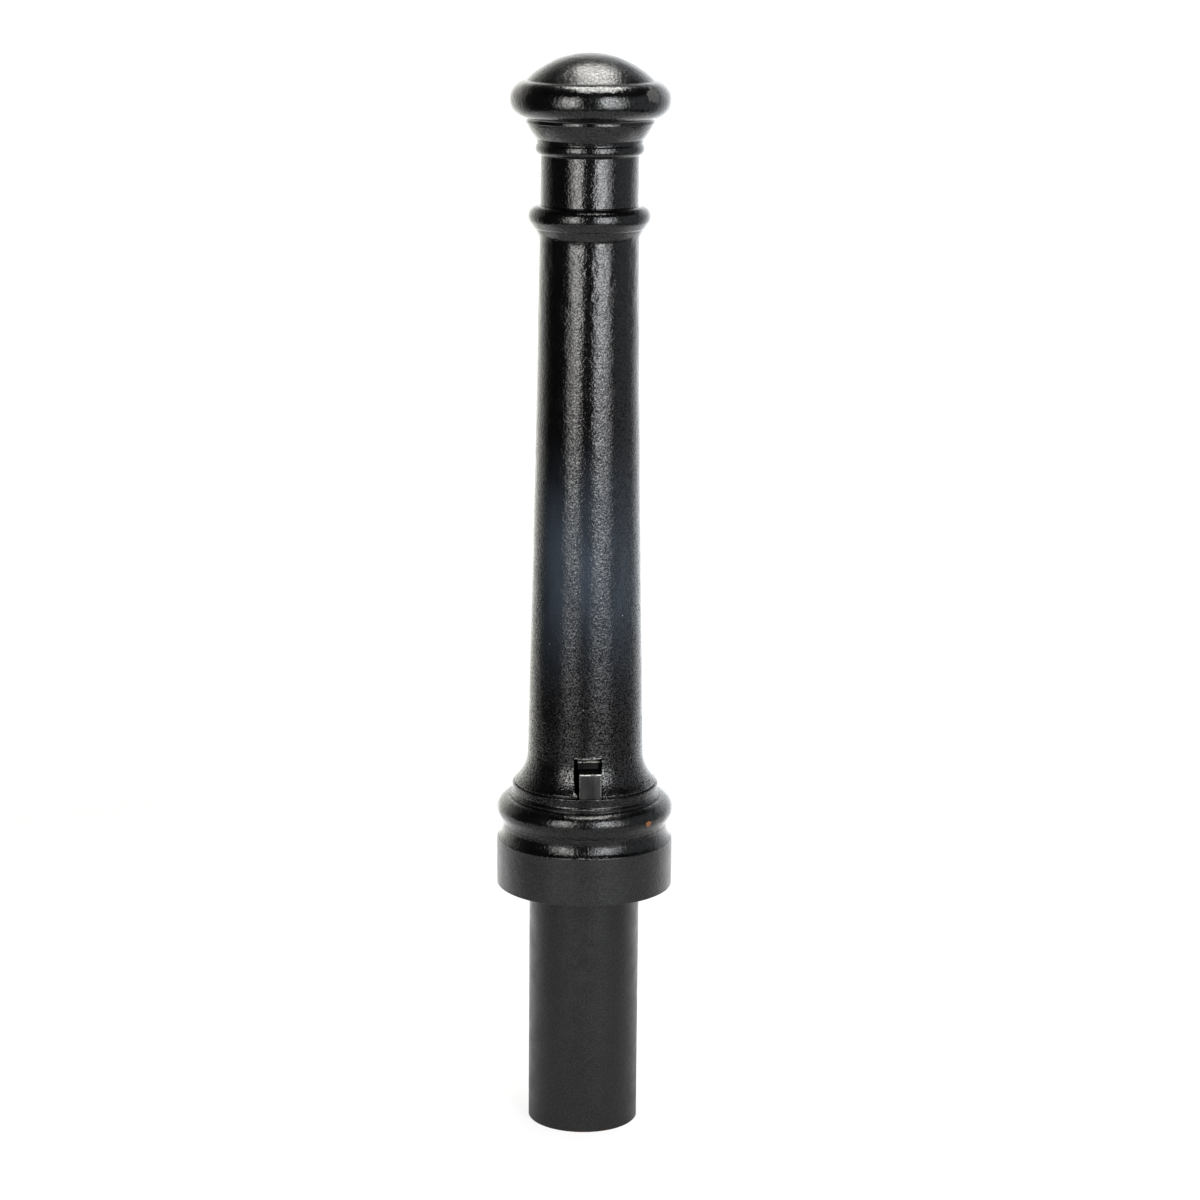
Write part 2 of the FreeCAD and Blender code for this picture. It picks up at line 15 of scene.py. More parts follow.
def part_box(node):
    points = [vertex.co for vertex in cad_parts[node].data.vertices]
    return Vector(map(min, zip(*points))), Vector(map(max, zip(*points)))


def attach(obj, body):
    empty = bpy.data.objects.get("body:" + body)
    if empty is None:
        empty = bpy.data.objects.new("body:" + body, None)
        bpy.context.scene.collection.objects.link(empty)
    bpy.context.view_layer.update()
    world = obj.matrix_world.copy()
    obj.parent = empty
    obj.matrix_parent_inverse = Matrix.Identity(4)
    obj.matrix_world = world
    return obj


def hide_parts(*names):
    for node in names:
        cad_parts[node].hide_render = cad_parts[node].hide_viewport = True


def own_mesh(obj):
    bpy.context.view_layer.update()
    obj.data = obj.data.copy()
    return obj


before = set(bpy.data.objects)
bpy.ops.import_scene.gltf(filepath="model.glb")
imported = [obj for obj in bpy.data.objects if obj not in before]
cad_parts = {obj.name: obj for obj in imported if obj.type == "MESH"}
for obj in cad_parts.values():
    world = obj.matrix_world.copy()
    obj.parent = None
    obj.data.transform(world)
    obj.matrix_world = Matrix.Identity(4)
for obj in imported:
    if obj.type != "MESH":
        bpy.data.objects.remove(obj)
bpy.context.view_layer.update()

MM = 0.001


# ---------------------------------------------------------------- sizes from the frame, mm
def low(node):
    """Lowest corner of a CAD node's box."""
    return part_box(node)[0] / MM


def high(node):
    """Highest corner of a CAD node's box."""
    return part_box(node)[1] / MM


POST_TOP = high("cap_casting").z
CAP_JOINT = low("cap_gasket").z           # between the column and the cap
CAP_RADIUS = high("cap_casting").x
LEDGE = high("base_casting").z            # the column stands on it
REGISTER_FOOT = low("column_casting").z   # spigot under the column's foot
REGISTER_PLAY = 0.05
COLLAR_RADIUS = high("base_casting").x
COLLAR_TOP = 58.5
ROOT_RADIUS = high("root_tube").x
ROOT_FOOT = low("root_tube").z
SPIGOT_TOP = high("root_tube").z

# Window in the column's foot, seen from the front. Its left side slopes in to a notch.
WINDOW_LEFT = -18.5
WINDOW_RIGHT = 14.4
WINDOW_TOP = 171.0
SLOPE_TOP = 134.0
NOTCH_LEFT = -15.5
NOTCH_TOP = 131.0

TAB_TOP = 157.0
STEM_FRONT = -57.0
TAB_FRONT = low("thumb_tab").y
TAB_SIDE = high("thumb_tab").x
STEM_TOP = high("thumb_tab").z

# ---------------------------------------------------------------- outlines
# Each corner is (radius, level, rounding), in millimetres.
COLUMN_OUTSIDE = [
    (72.0, LEDGE, 0),
    (85.2, LEDGE, 0.5),      # foot, on the base's ledge
    (85.2, 130.0, 2),        # lip
    (69.9, 144.7, 51),       # hollow flare
    (63.3, 460.0, 40000),    # the shaft's sides are very slightly hollow
    (58.55, 786.7, 18),      # cove under the ring
    (64.4, 797.2, 0.5),
    (65.6, 798.0, 0.5),
    (72.0, 807.5, 12.5),     # ring
    (72.0, 823.0, 12.5),
    (57.9, 824.6, 0.8),      # neck
    (57.9, 882.4, 0.8),
    (63.8, 884.6, 8),        # astragal
    (63.8, 893.5, 8),
    (62.0, 896.2, 0.8),      # quirk
    (63.0, 900.9, 0.8),
    (70.8, 910.2, 80),       # ogee
    (75.0, CAP_JOINT, 0.4),
    (52.05, CAP_JOINT, 0),
]
COLUMN_INSIDE = [
    (52.05, 908.0, 0),
    (47.6, 908.0, 0),
    (47.6, 786.7, 0),
    (59.9, 168.0, 0),
    (64.5, LEDGE, 0),
    (64.5, REGISTER_FOOT, 0),
    (72.0, REGISTER_FOOT, 0),
]
BASE_OUTSIDE = [
    (94.0, 0.0, 0),
    (COLLAR_RADIUS, 0.0, 1.0),
    (COLLAR_RADIUS, COLLAR_TOP, 0.9),
    (98.85, 65.1, 19.8),     # cove, flared out to the collar's edge
    (98.85, 78.7, 6),
    (105.9, 91.4, 15.8),     # bead
    (105.9, 108.2, 15.8),
    (92.8, 111.1, 0.4),      # two fine steps
    (91.2, 111.1, 0.4),
    (91.2, 114.1, 0.5),
    (87.8, 114.1, 3),
    (87.8, LEDGE, 1.0),
    (72.05, LEDGE, 0),
]
BASE_INSIDE = [
    (72.05, REGISTER_FOOT, 0),
    (64.55, REGISTER_FOOT, 0),
    (64.55, 0.0, 0),
    (76.0, 0.0, 0),
    (76.0, 104.0, 0),
    (84.0, 104.0, 0),
    (84.0, 57.0, 0),
    (94.0, 47.0, 0),
]
CAP_OUTSIDE = [
    (62.0, CAP_JOINT, 0),
    (75.6, CAP_JOINT, 0.4),
    (75.6, 925.0, 3),
    (CAP_RADIUS, 930.3, 21.2),   # fat bead
    (CAP_RADIUS, 966.95, 21.2),
    (74.4, 968.5, 1.2),          # crease
    (43.95, POST_TOP, 103),      # dome
    (0.0, POST_TOP, 0),
]
CAP_INSIDE = [
    (0.0, 966.0, 0),
    (10.05, 966.0, 0),
    (10.05, 926.0, 0),
    (20.0, 926.0, 0),
    (20.0, 986.0, 0),
    (30.0, 986.0, 0),
    (60.0, 955.0, 0),
    (60.0, 934.0, 0),
    (43.0, CAP_JOINT, 0),
    (43.0, 909.0, 0),
    (52.0, 909.0, 0),
    (52.0, CAP_JOINT, 0),
    (54.0, CAP_JOINT, 0),
    (54.0, 922.0, 0),
    (62.0, 922.0, 0),
]
ROOT_OUTSIDE = [
    (58.5, ROOT_FOOT, 0),
    (65.5, ROOT_FOOT, 0.4),
    (ROOT_RADIUS, -299.0, 0.4),
    (ROOT_RADIUS, 0.0, 0),
]
ROOT_INSIDE = [
    (64.5, 0.0, 0),
    (64.5, SPIGOT_TOP, 0),
    (58.5, SPIGOT_TOP, 0),
]


# ---------------------------------------------------------------- outline points
def unit(vector):
    """The vector with a length of 1."""
    return vector / np.linalg.norm(vector)


def rounded_path(corners):
    """Fine path through corners of (radius, level, rounding), rounded by tangent arcs."""
    arc_step = math.radians(3)
    path = [np.array(corners[0][:2], float)]
    for before, corner, after in zip(corners, corners[1:], corners[2:]):
        here = np.array(corner[:2], float)
        rounding = corner[2]
        if rounding == 0:
            path.append(here)
            continue
        back = unit(np.array(before[:2], float) - here)
        ahead = unit(np.array(after[:2], float) - here)
        half_angle = math.acos(np.clip(back @ ahead, -1, 1)) / 2
        centre = here + unit(back + ahead) * rounding / math.sin(half_angle)
        start = here + back * rounding / math.tan(half_angle) - centre
        end = here + ahead * rounding / math.tan(half_angle) - centre
        turn = math.pi - 2 * half_angle
        steps = max(2, math.ceil(turn / arc_step))
        for share in np.linspace(0, 1, steps + 1):
            arm = (math.sin((1 - share) * turn) * start + math.sin(share * turn) * end) / math.sin(turn)
            path.append(centre + arm)
    path.append(np.array(corners[-1][:2], float))
    return np.array(path)


def filled_in(path, step=0.2):
    """The same path with points added along its straight stretches."""
    pieces = []
    for start, end in zip(path, path[1:]):
        count = max(1, math.ceil(np.linalg.norm(end - start) / step))
        pieces.append(start + (end - start) * np.arange(count)[:, None] / count)
    pieces.append(path[-1:])
    return np.concatenate(pieces)


def spread_points(path, stops, finest, coarsest):
    """Points along a path: close together where it turns and at the stops, wider elsewhere.

    stops are places along the path where a point has to be.
    """
    growth = 0.3
    turn_per_point = 0.22
    fine = filled_in(path)
    stops = [int(np.argmin(np.linalg.norm(fine - stop, axis=1))) for stop in stops]
    stops = sorted([0] + stops + [len(fine) - 1])
    steps = np.diff(fine, axis=0)
    lengths = np.linalg.norm(steps, axis=1)
    along = np.concatenate([[0], np.cumsum(lengths)])
    heading = np.unwrap(np.arctan2(steps[:, 1], steps[:, 0]))
    turning = np.abs(np.diff(heading)) / ((lengths[1:] + lengths[:-1]) / 2)
    spacing = np.full(len(fine), float(coarsest))
    spacing[1:-1] = np.clip(turn_per_point / np.maximum(turning, 1e-9), finest, coarsest)
    spacing[stops] = finest
    for index in range(1, len(fine)):
        spacing[index] = min(spacing[index], spacing[index - 1] + growth * lengths[index - 1])
    for index in range(len(fine) - 2, -1, -1):
        spacing[index] = min(spacing[index], spacing[index + 1] + growth * lengths[index])
    counted = np.concatenate([[0], np.cumsum(lengths / ((spacing[1:] + spacing[:-1]) / 2))])
    chosen = []
    for start, end in zip(stops, stops[1:]):
        number = max(1, round(counted[end] - counted[start]))
        targets = np.linspace(counted[start], counted[end], number + 1)[:-1]
        places = np.interp(targets, counted, along)
        chosen.append(np.stack([np.interp(places, along, fine[:, axis]) for axis in (0, 1)], axis=1))
    chosen.append(fine[-1:])
    return np.concatenate(chosen)


def outward(outline):
    """Unit normals of an outline that runs with the metal on its left."""
    run = np.gradient(outline, axis=0)
    run /= np.maximum(np.linalg.norm(run, axis=1, keepdims=True), 1e-9)
    return np.stack([run[:, 1], -run[:, 0]], axis=1)


# ---------------------------------------------------------------- surface lumps
def lumps(points, size, seed, stretch=1.0):
    """Soft lumps about `size` mm across, from -1 to 1, at each point.

    stretch draws them out in height.
    """
    shift = Vector((seed * 17.3, seed * 5.1, seed * 9.7))
    scaled = points / (size, size, size * stretch)
    return np.array([noise.noise(Vector(point) + shift) for point in scaled])


def smooth_step(values, start, end):
    """0 at start, 1 at end, eased at both."""
    share = np.clip((np.asarray(values) - start) / (end - start), 0, 1)
    return share * share * (3 - 2 * share)


def cast_skin(points):
    """How far a casting's painted skin stands out from its true surface, in mm."""
    soft = 0.28 * lumps(points, 70, 1) + 0.15 * lumps(points, 24, 2) + 0.08 * lumps(points, 9, 3)
    level = points[:, 2]
    runs_zone = smooth_step(level, 640, 720) * smooth_step(level, 800, 780)
    runs = np.abs(lumps(points, 11, 4, 1.6))
    return soft + 0.55 * runs_zone * (0.3 - runs)


def tube_skin(points):
    """The root tube's skin is flatter than a casting's."""
    return 0.08 * lumps(points, 60, 5) + 0.03 * lumps(points, 12, 6)


# ---------------------------------------------------------------- meshes
def new_piece(name, points_mm, faces, material):
    """Mesh object with smooth faces and sharp creases, from points in millimetres."""
    crease = math.radians(35)
    mesh = bpy.data.meshes.new(name)
    mesh.from_pydata((np.asarray(points_mm) * MM).tolist(), [], faces)
    mesh.materials.append(material)
    work = bmesh.new()
    work.from_mesh(mesh)
    bmesh.ops.remove_doubles(work, verts=work.verts, dist=1e-6)
    bmesh.ops.recalc_face_normals(work, faces=work.faces)
    mark_creases(work, crease)
    work.to_mesh(mesh)
    work.free()
    piece = bpy.data.objects.new(name, mesh)
    bpy.context.scene.collection.objects.link(piece)
    return piece


def mark_creases(work, crease):
    """Smooth faces, with the edges that turn more than `crease` left sharp."""
    for face in work.faces:
        face.smooth = True
    for edge in work.edges:
        edge.smooth = len(edge.link_faces) == 2 and edge.calc_face_angle(0) < crease


def cut_away(piece, cutters, crease):
    """Cuts the cutters out of a piece, deletes them, and gives the piece its new mesh."""
    for cutter in cutters:
        cut = piece.modifiers.new("cut", "BOOLEAN")
        cut.operation = "DIFFERENCE"
        cut.solver = "MANIFOLD"
        cut.object = cutter
    bpy.context.view_layer.update()
    evaluated = piece.evaluated_get(bpy.context.evaluated_depsgraph_get())
    mesh = bpy.data.meshes.new_from_object(evaluated)
    piece.modifiers.clear()
    old_mesh = piece.data
    name = old_mesh.name
    piece.data = mesh
    bpy.data.meshes.remove(old_mesh)
    mesh.name = name
    for cutter in cutters:
        cutter_mesh = cutter.data
        bpy.data.objects.remove(cutter)
        bpy.data.meshes.remove(cutter_mesh)
    work = bmesh.new()
    work.from_mesh(mesh)
    mark_creases(work, crease)
    work.to_mesh(mesh)
    work.free()


def revolved(outline, angles):
    """Rows of points: the outline turned about the axis. Angle 0 faces -Y.

    angles is one list for every row, or one row of angles for each outline point.
    """
    angles = np.broadcast_to(angles, (len(outline), np.shape(angles)[-1]))
    radius = outline[:, :1]
    level = np.broadcast_to(outline[:, 1:], angles.shape)
    return np.stack([radius * np.sin(angles), -radius * np.cos(angles), level], axis=-1)


def displaced(outline, angles, skin, fade):
    """The outline turned about the axis, its surface pushed out by skin(points) mm.

    fade is how much of the skin each outline point gets.
    """
    grid = revolved(outline, angles)
    away = revolved(outward(outline), angles)
    height = skin(grid.reshape(-1, 3)).reshape(grid.shape[:2]) * fade[:, None]
    return grid + away * height[..., None]


def edge_fade(outline, reach=4.0):
    """0 at both ends of an outline, 1 from `reach` mm inwards."""
    lengths = np.linalg.norm(np.diff(outline, axis=0), axis=1)
    along = np.concatenate([[0], np.cumsum(lengths)])
    return np.clip(np.minimum(along, along[-1] - along) / reach, 0, 1)


def grid_faces(rows, columns):
    """Quads of a grid that wraps round both ways."""
    faces = []
    for row in range(rows):
        after = (row + 1) % rows
        for column in range(columns):
            beside = (column + 1) % columns
            faces.append((
                row * columns + column, row * columns + beside,
                after * columns + beside, after * columns + column))
    return faces


def turned_piece(name, outside, inside, count, spacing, material, skin):
    """Piece of revolution: a lumpy painted outside and a plain inside."""
    angles = np.arange(count) / count * 2 * math.pi
    outer = spread_points(rounded_path(outside), [], *spacing)
    inner = spread_points(rounded_path(inside), [], 2.0, 14.0)
    grid = np.concatenate([
        displaced(outer, angles, skin, edge_fade(outer)),
        revolved(inner, angles),
    ])
    return new_piece(name, grid.reshape(-1, 3), grid_faces(len(grid), count), material)


# ---------------------------------------------------------------- the column and its window
def column_piece(material):
    """The column, turned with close points round its window, which is then cut through it."""
    front_half = 30.0
    back_count = 140
    line = np.array([(-front_half, 0.0), (front_half, 0.0)])
    sides = [np.array((x, 0.0)) for x in (WINDOW_LEFT, NOTCH_LEFT, WINDOW_RIGHT)]
    places = spread_points(line, sides, 0.5, 1.8)[:, 0]

    def angles(outline):
        """In front the points stand at fixed distances from the middle, behind evenly."""
        rows = []
        for radius in outline[:, 0]:
            front = np.arcsin(places / radius)
            back = np.linspace(front[-1], 2 * math.pi + front[0], back_count + 2)[1:-1]
            rows.append(np.concatenate([front, back]))
        return np.array(rows)

    fine = filled_in(rounded_path(COLUMN_OUTSIDE))
    window_levels = (NOTCH_TOP, SLOPE_TOP, WINDOW_TOP)
    stops = [fine[np.argmin(np.abs(fine[:, 1] - level))] for level in window_levels]
    outer = spread_points(rounded_path(COLUMN_OUTSIDE), stops, 0.5, 3.1)
    inner = spread_points(rounded_path(COLUMN_INSIDE), [], 2.0, 24.0)
    grid = np.concatenate([
        round_window(displaced(outer, angles(outer), cast_skin, edge_fade(outer))),
        revolved(inner, angles(inner)),
    ])
    faces = grid_faces(len(grid), grid.shape[1])
    column = new_piece("column_iron", grid.reshape(-1, 3), faces, material)
    cut_away(column, [window_cutter(material)], math.radians(35))
    return column


def window_side(level):
    """x of the window's left side, which slopes in to the notch below."""
    return np.interp(level, (NOTCH_TOP, SLOPE_TOP), (NOTCH_LEFT, WINDOW_LEFT))


def round_window(grid):
    """Rounds and roughens the outer lip of the window, most of all along its top.

    A ragged burr stands up just above the top edge. Lengths are in millimetres.
    """
    flat = grid.reshape(-1, 3)
    x, y, level = flat.T
    across = np.maximum(np.maximum(window_side(level) - x, x - WINDOW_RIGHT), 0)
    above = np.maximum(level - WINDOW_TOP, 0)
    gap = np.hypot(across, above)
    top = smooth_step(level, WINDOW_TOP - 4, WINDOW_TOP)
    slope = smooth_step(level, SLOPE_TOP + 2, SLOPE_TOP) * (x < 0)
    lip = 0.8 + 1.6 * top + 1.1 * slope
    depth = np.clip(1 - gap / lip, 0, 1)
    rounded = lip * (1 - np.sqrt(1 - depth**2))
    rough_reach = 4.0
    near_edge = np.clip(1 - gap / rough_reach, 0, 1)
    rough = 0.45 * lumps(flat, 2.4, 11) * near_edge * (0.35 + 0.65 * top)
    burr_height, burr_width = 0.9, 0.8
    burr_level = WINDOW_TOP + 1.4 + 0.5 * lumps(flat, 7, 14)
    burr_profile = np.exp(-((level - burr_level) / burr_width) ** 2)
    burr = burr_height * burr_profile * (0.75 + 0.5 * lumps(flat, 3, 15)) * (across == 0)
    front = y < 0
    flat[:, 1] += (rounded - rough - burr) * front
    return flat.reshape(grid.shape)


def window_cutter(material):
    """Solid with rough walls that fills the window and its notch."""
    under_ledge = 0.02
    step = 1.5
    front, back = -100.0, -50.0
    corners = np.array([
        (WINDOW_LEFT, WINDOW_TOP), (WINDOW_RIGHT, WINDOW_TOP), (WINDOW_RIGHT, LEDGE - under_ledge),
        (NOTCH_LEFT, LEDGE - under_ledge), (NOTCH_LEFT, NOTCH_TOP), (WINDOW_LEFT, SLOPE_TOP),
        (WINDOW_LEFT, WINDOW_TOP)])
    outline = filled_in(corners, step)[:-1]
    centre = outline.mean(axis=0)
    rows = []
    for y in np.arange(front, back, step):
        row = np.array([(x, y, z) for x, z in outline])
        rough = 0.4 * lumps(row, 3.5, 12) + 0.2 * lumps(row, 1.8, 13)
        away = np.sign(outline - centre) * (outline[:, 1:] > LEDGE + 1)
        row[:, 0] += away[:, 0] * rough
        row[:, 2] += away[:, 1] * rough * (outline[:, 1] > SLOPE_TOP)
        rows.append(row)
    count = len(outline)
    faces = grid_faces(len(rows), count)[:-count]
    faces.append(tuple(range(count)))
    faces.append(tuple(range((len(rows) - 1) * count, len(rows) * count)))
    return new_piece("window_cutter", np.concatenate(rows), faces, material)


# ---------------------------------------------------------------- thumb tab
def tab_piece(material):
    """Stem and tab, rounded in front, with the holes for the rod and its pin."""
    rounding = 1.6 * MM
    facet_edge = 4.5 * MM        # the tab's front is flat in the middle and falls away beside it
    facet_fall = 0.9 * MM
    bottom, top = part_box("thumb_tab")
    ledge, tab_top, stem_front = LEDGE * MM, TAB_TOP * MM, STEM_FRONT * MM
    work = bmesh.new()
    rings = []
    for x in (bottom.x, -facet_edge, facet_edge, top.x):
        front = bottom.y if abs(x) <= facet_edge else bottom.y + facet_fall
        side = [
            (front, ledge), (stem_front, ledge), (stem_front, bottom.z), (top.y, bottom.z),
            (top.y, top.z), (stem_front, top.z), (stem_front, tab_top), (front, tab_top),
        ]
        rings.append([work.verts.new((x, y, z)) for y, z in side])
    work.faces.new(rings[0])
    work.faces.new(rings[-1][::-1])
    for near_ring, far_ring in zip(rings, rings[1:]):
        for index in range(len(side)):
            after = (index + 1) % len(side)
            work.faces.new((near_ring[index], far_ring[index], far_ring[after], near_ring[after]))
    bmesh.ops.recalc_face_normals(work, faces=work.faces)

    def is_rounded(edge):
        """The tab's front edges beside and above its face, and the stem's front top edge."""
        middle = (edge.verts[0].co + edge.verts[1].co) / 2
        run = edge.verts[0].co - edge.verts[1].co
        at_side = math.isclose(abs(middle.x), top.x, abs_tol=MM / 10) and abs(run.z) > rounding
        at_top = math.isclose(middle.z, tab_top, abs_tol=MM / 10) and abs(run.x) > rounding
        on_front = middle.y < bottom.y + facet_fall + MM / 10 and (at_side or at_top)
        on_stem = math.isclose(middle.y, stem_front, abs_tol=MM / 10) and math.isclose(middle.z, top.z)
        return on_front or on_stem

    edges = [edge for edge in work.edges if is_rounded(edge)]
    bmesh.ops.bevel(
        work, geom=edges, offset=rounding, offset_type="OFFSET", segments=4, profile=0.5, affect="EDGES")
    sharp = [edge for edge in work.edges if len(edge.link_faces) == 2 and edge.calc_face_angle(0) > 1.0]
    bmesh.ops.bevel(
        work, geom=sharp, offset=0.3 * MM, offset_type="OFFSET", segments=2, profile=0.5, affect="EDGES")
    mesh = bpy.data.meshes.new("thumb_tab_block")
    work.to_mesh(mesh)
    work.free()
    mesh.materials.append(material)
    tab = bpy.data.objects.new("thumb_tab_block", mesh)
    bpy.context.scene.collection.objects.link(tab)

    rod_bottom, rod_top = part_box("locking_rod")
    pin_bottom, pin_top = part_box("tab_pin")
    rod_radius = (rod_top.x - rod_bottom.x) / 2 + REGISTER_PLAY * MM
    pin_radius = (pin_top.z - pin_bottom.z) / 2 + REGISTER_PLAY * MM
    rod_centre = (rod_bottom + rod_top) / 2
    pin_centre = (pin_bottom + pin_top) / 2
    rod_length = 2 * (rod_top.z - bottom.z)
    rod_place = Vector((0, rod_centre.y, bottom.z))
    rod_hole = round_cutter("rod_cutter", rod_radius, rod_length, rod_place, (0, 0, 1))
    pin_hole = round_cutter("pin_cutter", pin_radius, 4 * top.x, pin_centre, (1, 0, 0))
    cut_away(tab, [rod_hole, pin_hole], math.radians(30))
    return tab


def round_cutter(name, radius, length, centre, axis):
    """Cylinder to cut a hole with."""
    work = bmesh.new()
    turn = Vector(axis).to_track_quat("Z", "Y").to_matrix().to_4x4()
    bmesh.ops.create_cone(
        work, cap_ends=True, segments=48, radius1=radius, radius2=radius, depth=length,
        matrix=Matrix.Translation(centre) @ turn)
    mesh = bpy.data.meshes.new(name)
    work.to_mesh(mesh)
    work.free()
    cutter = bpy.data.objects.new(name, mesh)
    bpy.context.scene.collection.objects.link(cutter)
    return cutter


# ---------------------------------------------------------------- the return spring
def spring_coil(material):
    """Return spring: one wire wound up from the spring seat, built at its rest length; it isn't squashed
    here when the rod is lifted.
    """
    wire = 1.0                     # radius, as in the CAD source
    pitch = 7.8
    steps_per_turn = 48
    sides = 12
    bottom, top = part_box("return_spring")
    middle = (bottom + top) / 2 / MM
    coil = (top.x - bottom.x) / 2 / MM - wire
    rise = (top.z - bottom.z) / MM - 2 * wire
    steps = round(steps_per_turn * rise / pitch)
    turned = np.linspace(0, 2 * math.pi * rise / pitch, steps + 1)[:, None]
    round_wire = np.arange(sides) / sides * 2 * math.pi
    slope = math.atan2(pitch, 2 * math.pi * coil)
    outwards = coil + wire * np.cos(round_wire)
    across = wire * np.sin(round_wire)
    x = outwards * np.cos(turned) + across * math.sin(slope) * np.sin(turned)
    y = outwards * np.sin(turned) - across * math.sin(slope) * np.cos(turned)
    level = bottom.z / MM + wire + turned / (2 * math.pi) * pitch + across * math.cos(slope)
    points = np.stack([middle.x + x, middle.y + y, level], axis=-1).reshape(-1, 3)
    wrapped = grid_faces(steps + 1, sides)[:steps * sides]
    first_end = tuple(range(sides))
    last_end = tuple(range(steps * sides, (steps + 1) * sides))[::-1]
    spring = new_piece("spring_coils", points, wrapped + [first_end, last_end], material)
    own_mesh(spring)
    return spring


# ---------------------------------------------------------------- material nodes
class Nodes:
    """Short calls that add linked nodes to one material."""

    def __init__(self, name):
        self.material = bpy.data.materials.new(name)
        self.material.use_nodes = True
        self.tree = self.material.node_tree
        self.shader = self.tree.nodes["Principled BSDF"]
        coordinates = self.tree.nodes.new("ShaderNodeTexCoord")
        self.place = coordinates.outputs["Object"]
        parts = self.add("ShaderNodeSeparateXYZ", {"Vector": self.place})
        self.x, self.y, self.level = parts.outputs

    def add(self, kind, inputs=(), **settings):
        """New node with its settings and inputs."""
        node = self.tree.nodes.new(kind)
        for key, value in settings.items():
            setattr(node, key, value)
        for key, value in dict(inputs).items():
            self.feed(node.inputs[key], value)
        return node

    def feed(self, socket, value):
        """Links a node's output to a socket, or sets the socket's own value."""
        if isinstance(value, bpy.types.NodeSocket):
            self.tree.links.new(value, socket)
        elif value is not None:
            socket.default_value = value

    def set(self, **values):
        """Sets inputs of the material's shader. An underscore stands for a space in a name."""
        for key, value in values.items():
            self.feed(self.shader.inputs[key.replace("_", " ")], value)

    def noise(self, size, detail=2.0, stretch=(1, 1, 1), roughness=0.5, distortion=0.0):
        """Noise whose lumps are about size metres across."""
        scaled = self.add("ShaderNodeVectorMath", {0: self.place, 1: stretch}, operation="MULTIPLY")
        inputs = {
            "Vector": scaled.outputs[0], "Scale": 1 / size, "Detail": detail,
            "Roughness": roughness, "Distortion": distortion}
        return self.add("ShaderNodeTexNoise", inputs).outputs["Fac"]

    def cells(self, size):
        """Distance from the middle of the nearest cell, for cells about size metres across."""
        inputs = {"Vector": self.place, "Scale": 1 / size}
        return self.add("ShaderNodeTexVoronoi", inputs).outputs["Distance"]

    def remap(self, value, low, high, new_low=0.0, new_high=1.0, kind="SMOOTHSTEP"):
        inputs = {
            "Value": value, "From Min": low, "From Max": high, "To Min": new_low, "To Max": new_high}
        return self.add("ShaderNodeMapRange", inputs, interpolation_type=kind).outputs[0]

    def math(self, operation, first, second=None):
        return self.add("ShaderNodeMath", {0: first, 1: second}, operation=operation).outputs[0]

    def times(self, *values):
        """Product of all the values."""
        product = values[0]
        for value in values[1:]:
            product = self.math("MULTIPLY", product, value)
        return product

    def plus(self, *values):
        """Sum of all the values."""
        total = values[0]
        for value in values[1:]:
            total = self.math("ADD", total, value)
        return total

    def mix(self, share, first, second):
        node = self.add("ShaderNodeMix", data_type="RGBA")
        self.feed(node.inputs["Factor"], share)
        for name, value in (("A", first), ("B", second)):
            sockets = [s for s in node.inputs if s.name == name and s.type == "RGBA"]
            self.feed(sockets[0], value)
        return [s for s in node.outputs if s.type == "RGBA"][0]

    def band(self, bottom, top, ease):
        """1 between two levels, easing to 0 outside them."""
        above = self.remap(self.level, bottom - ease, bottom + ease)
        below = self.remap(self.level, top - ease, top + ease, 1.0, 0.0)
        return self.times(above, below)

    def near(self, point, radius, ragged=0.3, size=0.004):
        """1 in a ragged patch round a point, 0 outside it."""
        away = self.add("ShaderNodeVectorMath", {0: self.place, 1: point}, operation="DISTANCE")
        wobble = self.remap(self.noise(size, 3.0), 0.3, 0.7, -ragged * radius, ragged * radius, "LINEAR")
        distance = self.plus(away.outputs["Value"], wobble)
        return self.remap(distance, radius * 0.75, radius, 1.0, 0.0)

    def bump(self, heights):
        """Bump from a list of (height, depth in metres)."""
        normal = None
        for height, depth in heights:
            inputs = {"Height": height, "Distance": depth, "Strength": 1.0, "Normal": normal}
            normal = self.add("ShaderNodeBump", inputs).outputs["Normal"]
        self.feed(self.shader.inputs["Normal"], normal)


BLACK_PAINT = (0.0008, 0.0008, 0.0009, 1)
DUSTY_PAINT = (0.0018, 0.0018, 0.0019, 1)
HAZE = (0.036, 0.045, 0.060, 1)
GREY_DUST = (0.008, 0.008, 0.0085, 1)
SCUFF = (0.035, 0.034, 0.032, 1)
RUST = (0.22, 0.075, 0.022, 1)
# Pale grey of chips and specks, also laid on as painted highlight on the window's lip and the tab's
# edges
PALE_MARK_AND_HIGHLIGHT = (0.50, 0.50, 0.47, 1)
# Grey of rubbed paint, also the painted reflection beside the middle of the tab's face
RUBBED_AND_LIT_GREY = (0.024, 0.024, 0.023, 1)

# Levels of the haze half way up the shaft, in metres
HAZE_BOTTOM = 0.34
HAZE_TOP = 0.46
HAZE_FADE = 0.12


def on_surface(radius, angle, level):
    """Place in metres on the post's surface. Angle 0 faces -Y and grows towards +X."""
    return (radius * math.sin(angle) * MM, -radius * math.cos(angle) * MM, level * MM)


